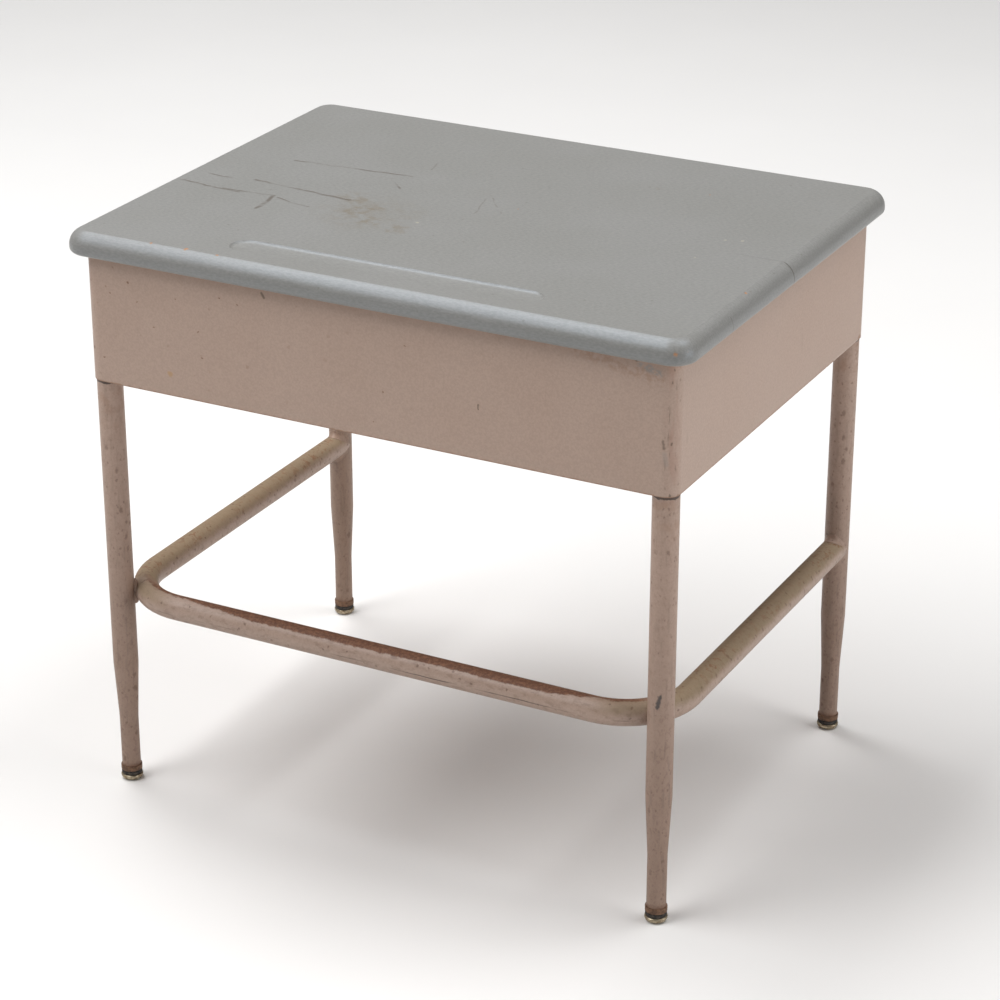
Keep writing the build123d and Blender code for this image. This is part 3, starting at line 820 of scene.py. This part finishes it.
def glide_nickel():
    """Nickel plate, dulled and yellowed, rubbed brighter under the foot."""
    g = Graph("glide_nickel")
    stain = g.ramp(g.noise(4 * MM, detail=5, rough=0.65), 0.35, 0.68)
    rubbed = g.ramp(g.z, 1.2 * MM, 0.2 * MM)
    colour = g.colour(stain, NICKEL, NICKEL_STAINED)
    colour = g.cover(colour, (rubbed, 0.5, NICKEL_RUBBED))
    fine = g.noise(0.8 * MM, detail=2)
    return g.finish(colour, g.ramp(stain, 0, 1, 0.30, 0.55), g.times(g.total(fine, stain), 0.02 * MM), 0.9)


def cushion_rubber():
    """Black rubber, dusty and slightly perished."""
    g = Graph("cushion_rubber")
    dust = g.ramp(g.noise(2.5 * MM, detail=4), 0.40, 0.70)
    colour = g.cover(RUBBER, (dust, 0.6, RUBBER_DUST))
    return g.finish(colour, 0.85, g.times(g.noise(0.7 * MM, detail=2), 0.05 * MM))


def plated_steel():
    """Zinc-plated screws and rivets, with a little white bloom."""
    g = Graph("plated_steel")
    bloom = g.ramp(g.noise(1.6 * MM, detail=4), 0.45, 0.70)
    colour = g.colour(bloom, ZINC, ZINC_BLOOM)
    return g.finish(colour, g.ramp(bloom, 0, 1, 0.32, 0.6), g.times(bloom, 0.02 * MM), 0.9)


def paint(prefixes, material):
    """Gives a material to the CAD nodes whose names start with a prefix, or with one of several."""
    for name, node in NODES.items():
        if name.startswith(prefixes):
            node.data.materials.clear()
            node.data.materials.append(material)


# ---- welds between legs and foot rail ---------------------------------------------------
# A saddle's face is a ball's arc, hollow towards the ball, that runs SADDLE_LIMIT to each side of the leg.
SADDLE_RADIUS = 6.5 * MM
SADDLE_LIMIT = math.radians(80)
SADDLE_STEPS = 44
ARC_STEPS = 8
ROOT_SHARE = 0.97
RIPPLE_SIZE = 3 * MM
RIPPLE_HEIGHT = 0.35 * MM
# A tack's half sizes. Its swell and grain are shares of them, with so many waves to the half size.
TACK_LONG = 5.0 * MM
TACK_WIDE = 3.6 * MM
TACK_TALL = 7.5 * MM
TACK_SWELL = 0.10
TACK_SWELL_WAVES = 1.6
TACK_GRAIN = 0.03
TACK_GRAIN_WAVES = 6
TACK_SEED = 300


def saddle_section(t, above, leg_x, leg_y):
    """The weld's section at angle t round the leg: a ball's arc from the leg to the rail, and a root."""
    reach = TUBE_RADIUS + SADDLE_RADIUS
    across, out = math.sin(t), math.cos(t)
    ball = Vector((reach * across, reach * out, above * reach * out))
    shrink = TUBE_RADIUS / reach
    on_leg = Vector((ball.x * shrink, ball.y * shrink, ball.z))
    on_rail = Vector((ball.x * shrink, ball.y, ball.z * shrink))
    root = Vector((ball.x * shrink, ball.y * shrink, ball.z * shrink)) * ROOT_SHARE
    points = []
    for step in range(ARC_STEPS + 1):
        arm = (on_leg - ball).slerp(on_rail - ball, step / ARC_STEPS)
        fade = math.sin(math.pi * step / ARC_STEPS) * out
        point = ball + arm * SADDLE_RADIUS
        points.append(point - arm * RIPPLE_HEIGHT * noise.noise(point / RIPPLE_SIZE) * fade)
    points.append(root)
    return [point + Vector((leg_x, leg_y, RAIL_Z)) for point in points]


def loft(mesh, sections):
    """Joins closed sections of equal point counts into a closed tube with capped ends."""
    rings = [[mesh.verts.new(point) for point in section] for section in sections]
    count = len(rings[0])
    for first, second in zip(rings, rings[1:]):
        for k in range(count):
            mesh.faces.new((first[k], first[(k + 1) % count], second[(k + 1) % count], second[k]))
    mesh.faces.new(rings[0])
    mesh.faces.new(list(reversed(rings[-1])))


def weld_place(foot, above):
    """Middle of the tack weld over or under the rail at that leg."""
    leg_x, leg_y = leg_axis(foot)
    points = [
        vertex.co
        for vertex in NODES["rail_welds"].data.vertices
        if vertex.co.x * leg_x > 0 and vertex.co.y * leg_y > 0 and (vertex.co.z - RAIL_Z) * above > 0
    ]
    return sum(points, Vector()) / len(points)


def tack_lump(mesh, foot, above):
    """An uneven lump of weld in the nook between a rear leg and the rail's bend."""
    centre = weld_place(foot, above)
    leg_x, leg_y = leg_axis(foot)
    outward = Vector((leg_x - centre.x, leg_y - centre.y, 0.0)).normalized()
    along = Vector((-outward.y, outward.x, 0.0))
    lump = bmesh.ops.create_icosphere(mesh, subdivisions=4, radius=1.0)
    for vertex in lump["verts"]:
        unit = vertex.co.copy()
        swell = 1.0 + TACK_SWELL * noise.noise(unit * TACK_SWELL_WAVES + centre * TACK_SEED)
        swell += TACK_GRAIN * noise.noise(unit * TACK_GRAIN_WAVES)
        vertex.co = centre + (along * unit.x * TACK_LONG + outward * unit.y * TACK_WIDE) * swell
        vertex.co.z += unit.z * TACK_TALL * swell


def add_rail_welds(material):
    """Saddle fillets where the rail butts the front legs, and tack lumps where it nests in the rear ones."""
    mesh = bmesh.new()
    angles = [SADDLE_LIMIT * (2 * k / SADDLE_STEPS - 1) for k in range(SADDLE_STEPS + 1)]
    for foot in FRONT_FEET:
        leg_x, leg_y = leg_axis(foot)
        for above in (1, -1):
            loft(mesh, [saddle_section(t, above, leg_x, leg_y) for t in angles])
    bmesh.ops.recalc_face_normals(mesh, faces=mesh.faces)
    for foot in REAR_FEET:
        for above in (1, -1):
            tack_lump(mesh, foot, above)
    data = bpy.data.meshes.new("rail_weld_fillets")
    mesh.to_mesh(data)
    mesh.free()
    for face in data.polygons:
        face.use_smooth = True
    data.materials.append(material)
    weld = bpy.data.objects.new("rail_weld_fillets", data)
    bpy.context.scene.collection.objects.link(weld)
    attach(weld, "desk")
    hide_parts("rail_welds")


# ---- build ------------------------------------------------------------------------------
add_camera()
add_studio()
legs_enamel = leg_paint()
paint("top_board", top_paint())
paint(("book_box", "opening_rail", "leg_welds"), shell_paint())
paint(("leg_front", "leg_rear"), legs_enamel)
paint("foot_rail", rail_paint())
paint("glide_socket", socket_steel())
paint("glide_base", glide_nickel())
paint("glide_cushion", cushion_rubber())
paint(("glide_stem", "top_screws"), plated_steel())
add_rail_welds(legs_enamel)
